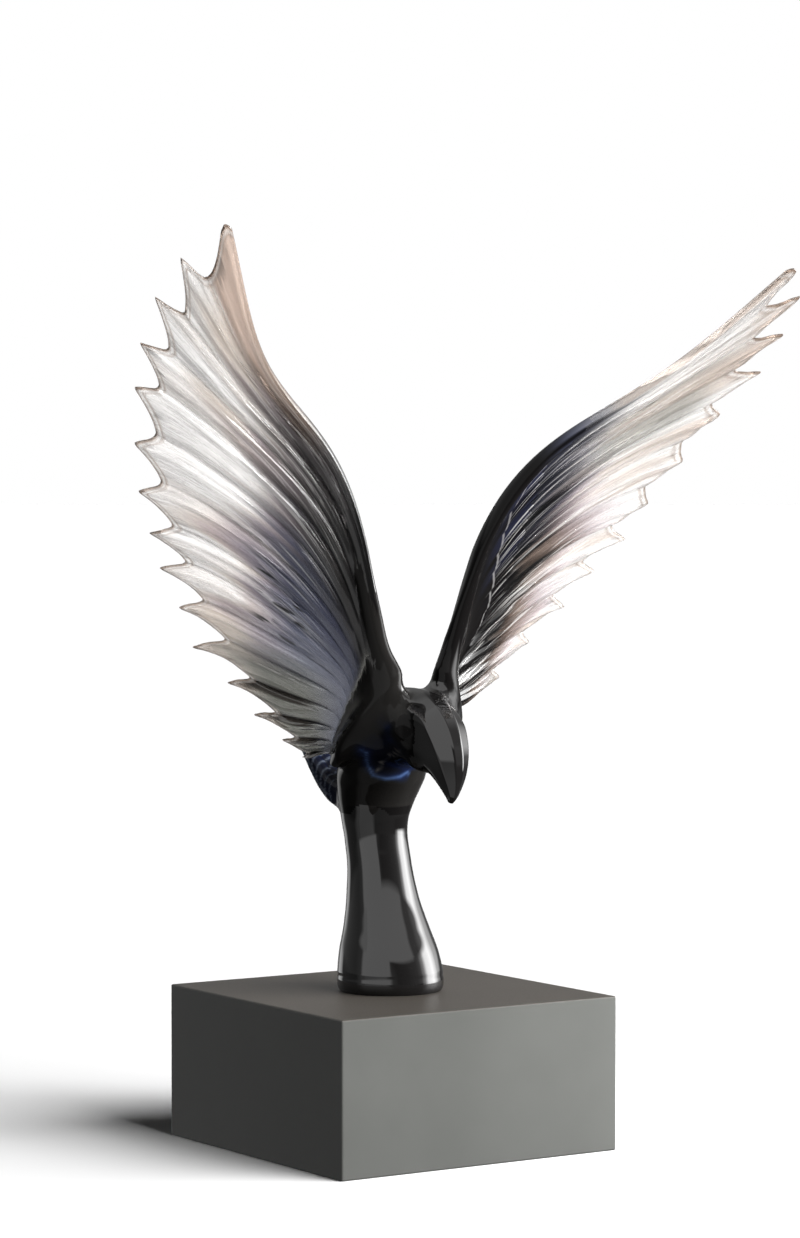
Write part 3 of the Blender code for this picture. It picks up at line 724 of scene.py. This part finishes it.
black, shader = resin("cast_resin")
clear, shader = resin("cast_resin_clear")
shader.inputs["Transmission Weight"].default_value = 0.72
joined.materials.clear()
joined.materials.append(black)
joined.materials.append(clear)
dull, shader = resin("cast_resin_soft")
shader.inputs["IOR"].default_value = 1.16
joined.materials.append(dull)
fan_face = on_wing & (t > 0.055)
corner = np.empty(len(joined.loops), int)
joined.loops.foreach_get("vertex_index", corner)
start, total = np.empty(len(joined.polygons), int), np.empty(len(joined.polygons), int)
joined.polygons.foreach_get("loop_start", start)
joined.polygons.foreach_get("loop_total", total)
inside = np.add.reduceat(fan_face[corner].astype(int), start) == total
# belly, neck, arms and tail shine less than the column, the crown and the beak
crown = (z > 233.0) & (z < 243.0) & (x > -12.0) & (y < -24.0)
turn = np.degrees(np.arctan2(y - 13.0, co[:, 0] / MM)) + 143.0
turn = (turn + 180) % 360 - 180
arch = 178.8 - 6.0 * np.minimum(1, (turn / np.where(turn < 0, 32, 42)) ** 2)
soft = (z > arch) & ((y > -36.0) | (y > -42.0) & (x < -12.5) & (z < 232.0)) & ~crown & ~fan_face | arm
softer = np.add.reduceat(soft[corner].astype(int), start) == total
joined.polygons.foreach_set("material_index", np.where(softer, 2, inside.astype(int)))

lacquer, nt, shader = fresh("plinth_lacquer")
coords = nt.nodes.new("ShaderNodeTexCoord")
mottle = nt.nodes.new("ShaderNodeTexNoise")
mottle.inputs["Scale"].default_value = 14.0
mottle.inputs["Detail"].default_value = 4.0
grain = nt.nodes.new("ShaderNodeTexNoise")
grain.inputs["Scale"].default_value = 900.0
grain.inputs["Detail"].default_value = 2.0
for node in (mottle, grain):
    nt.links.new(coords.outputs["Object"], node.inputs["Vector"])
shades = nt.nodes.new("ShaderNodeValToRGB")
shades.color_ramp.elements[0].position, shades.color_ramp.elements[1].position = 0.35, 0.68
shades.color_ramp.elements[0].color = (0.067, 0.0685, 0.0645, 1)
shades.color_ramp.elements[1].color = (0.078, 0.0795, 0.075, 1)
nt.links.new(mottle.outputs[0], shades.inputs["Fac"])
up = nt.nodes.new("ShaderNodeSeparateXYZ")
nt.links.new(coords.outputs["Normal"], up.inputs[0])
# painted shade: the top face, found by its upward normal, is multiplied darker and browner than the sides
top_shade = nt.nodes.new("ShaderNodeMix")
top_shade.data_type, top_shade.blend_type = "RGBA", "MULTIPLY"
nt.links.new(up.outputs["Z"], top_shade.inputs[0])
nt.links.new(shades.outputs[0], top_shade.inputs[6])
top_shade.inputs[7].default_value = (0.71, 0.62, 0.57, 1)
nt.links.new(top_shade.outputs[2], shader.inputs["Base Color"])
rough = math_node(nt, "MULTIPLY_ADD", grain.outputs[0], 0.10)
rough.node.inputs[2].default_value = 0.36
nt.links.new(rough, shader.inputs["Roughness"])
shader.inputs["Specular IOR Level"].default_value = 0.35
bump = nt.nodes.new("ShaderNodeBump")
bump.inputs["Strength"].default_value = 0.05
bump.inputs["Distance"].default_value = 0.0002
nt.links.new(grain.outputs[0], bump.inputs["Height"])
nt.links.new(bump.outputs[0], shader.inputs["Normal"])
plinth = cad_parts["plinth"]
for slot in plinth.material_slots:
    slot.material = lacquer

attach(eagle, ROOT)
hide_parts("eagle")

# ------------------------------------------------------- floor, light and camera
floor_mesh = bpy.data.meshes.new("floor")
R = 40.0
ring = [(R * math.cos(2 * math.pi * k / 64), R * math.sin(2 * math.pi * k / 64), 0.0) for k in range(64)]
floor_mesh.from_pydata(ring, [], [tuple(range(64))])
floor = bpy.data.objects.new("floor", floor_mesh)
bpy.context.scene.collection.objects.link(floor)
pale, nt, shader = fresh("floor_pale")
shader.inputs["Base Color"].default_value = (0.92, 0.92, 0.92, 1)
shader.inputs["Roughness"].default_value = 0.9
shader.inputs["Specular IOR Level"].default_value = 0.0
floor_mesh.materials.append(pale)
floor.visible_glossy = False
floor.visible_diffuse = False

world = bpy.data.worlds.new("studio")
bpy.context.scene.world = world
world.use_nodes = True
nt = world.node_tree
background = nt.nodes["Background"]
path = nt.nodes.new("ShaderNodeLightPath")
coords = nt.nodes.new("ShaderNodeTexCoord")
split = nt.nodes.new("ShaderNodeSeparateXYZ")
nt.links.new(coords.outputs["Generated"], split.inputs[0])
height = split.outputs["Z"]


def ramp_node(value, stops, mode="LINEAR"):
    node = nt.nodes.new("ShaderNodeValToRGB")
    node.color_ramp.interpolation = mode
    while len(node.color_ramp.elements) < len(stops):
        node.color_ramp.elements.new(0.5)
    for element, (place, level) in zip(node.color_ramp.elements, stops):
        element.position = place
        element.color = (level, level, level, 1)
    nt.links.new(value, node.inputs["Fac"])
    return node.outputs[0]


def spread(value, low, high):
    node = nt.nodes.new("ShaderNodeMapRange")
    node.inputs["From Min"].default_value, node.inputs["From Max"].default_value = low, high
    nt.links.new(value, node.inputs["Value"])
    return node.outputs[0]




def mixed(f, a, b):
    node = nt.nodes.new("ShaderNodeMix")
    for sock, v in zip((node.inputs[0], node.inputs[2], node.inputs[3]), (f, a, b)):
        nt.links.new(v, sock)
    return node.outputs[0]


# panels round the room that gloss picks up, by bearing at four heights
bearing = spread(math_node(nt, "ARCTAN2", split.outputs["Y"], split.outputs["X"]), -math.pi, math.pi)
down = ramp_node(bearing, ((0.0, 0.42), (0.13, 0.42), (0.16, 0.12), (0.50, 0.12), (0.53, 0.05), (0.95, 0.05), (0.98, 0.32)))
low = ramp_node(bearing, ((0.0, 0.40), (0.13, 0.45), (0.16, 0.10), (0.34, 0.10), (0.38, 0.05), (0.56, 0.05),
                          (0.60, 0.09), (0.66, 0.09), (0.73, 0.18), (0.75, 0.80), (0.79, 0.80), (0.81, 0.09), (0.94, 0.09), (0.98, 0.30)))
middle = ramp_node(bearing, ((0.0, 1.0), (0.155, 0.95), (0.175, 0.20), (0.21, 0.06), (0.27, 0.08), (0.335, 0.17),
                             (0.37, 0.45), (0.50, 0.90), (0.55, 0.90), (0.57, 0.14), (0.66, 0.12), (0.72, 0.18),
                             (0.76, 0.30), (0.79, 0.30), (0.81, 0.20), (0.93, 0.16), (0.970, 0.24), (0.985, 1.0)))
high = ramp_node(bearing, ((0.0, 1.0), (0.325, 0.90), (0.345, 0.22), (0.385, 0.22), (0.42, 0.60), (0.50, 0.60), (0.54, 0.10), (0.66, 0.15),
                           (0.78, 0.40), (0.84, 0.70), (0.97, 0.85)))
gloss = mixed(spread(height, -0.45, -0.30), down, low)
gloss = mixed(spread(height, 0.0, 0.08), gloss, middle)
gloss = mixed(spread(height, 0.40, 0.46), gloss, high)
gloss = math_node(nt, "MULTIPLY", gloss, 2.0)
# tall white panel to the right, with soft sides
band = ramp_node(bearing, ((0.362, 0.0), (0.388, 0.22), (0.412, 1.0), (0.46, 1.0), (0.485, 0.55), (0.51, 0.15), (0.55, 0.0)))
window = ramp_node(spread(height, -0.2, 0.6), ((0.10, 0.0), (0.20, 1.0), (0.72, 1.0), (0.84, 0.0)))
gloss = math_node(nt, "ADD", gloss, math_node(nt, "MULTIPLY", math_node(nt, "MULTIPLY", band, window), 14.0))
through = ramp_node(spread(height, -1, 1), ((0.30, 0.85), (0.47, 1.0), (0.56, 1.0), (0.66, 0.40), (0.80, 0.18)))
level = math_node(nt, "MULTIPLY", path.outputs["Is Glossy Ray"], gloss)
for ray, light in (("Is Transmission Ray", through), ("Is Camera Ray", 1.0), ("Is Diffuse Ray", 0.020)):
    level = math_node(nt, "MAXIMUM", level, math_node(nt, "MULTIPLY", path.outputs[ray], light))
nt.links.new(level, background.inputs["Strength"])
background.inputs["Color"].default_value = (1, 1, 1, 1)


def aim(obj, target):
    obj.rotation_euler = (Vector(target) - obj.location).to_track_quat("-Z", "Y").to_euler()


def area(name, place, size, power, target=(0, 0, 0.2)):
    light = bpy.data.lights.new(name, "AREA")
    light.shape, light.size, light.size_y, light.energy = "RECTANGLE", size[0], size[1], power
    obj = bpy.data.objects.new(name, light)
    bpy.context.scene.collection.objects.link(obj)
    obj.location = place
    aim(obj, target)
    return obj


def shown(light, diffuse, glossy, transmission=False):
    light.visible_camera = False
    light.visible_diffuse, light.visible_glossy, light.visible_transmission = diffuse, glossy, transmission


sun_data = bpy.data.lights.new("key_sun", "SUN")
sun_data.energy, sun_data.angle = 7.7, math.radians(60)
sun = bpy.data.objects.new("key_sun", sun_data)
bpy.context.scene.collection.objects.link(sun)
sun.location = (0.397, -0.815, 0.45)
aim(sun, (0, 0, 0))
shown(sun, True, False)
# a soft lamp for the plinth's right end, and a weak one for its shaded side
shown(area("side_lamp", (0.38, -0.28, 0.16), (0.16, 0.16), 4.0, (0.08, -0.04, 0.05)), True, False)
shown(area("shade_fill", (-2.0, 0.3, 0.10), (0.8, 0.14), 2.0, (-0.08, 0.0, 0.06)), True, False)

camera_data = bpy.data.cameras.new("camera")
camera_data.lens, camera_data.sensor_width, camera_data.sensor_fit = 3992 / 1238 * 36, 36.0, "AUTO"
camera_data.dof.use_dof = False
camera = bpy.data.objects.new("camera", camera_data)
bpy.context.scene.collection.objects.link(camera)
camera.location = (-1.14972, -1.75602, 0.35515)
camera.rotation_euler = (math.radians(90 - 2.133), 0, math.radians(-33.344))
bpy.context.scene.camera = camera
bpy.context.scene.view_settings.view_transform = "Standard"
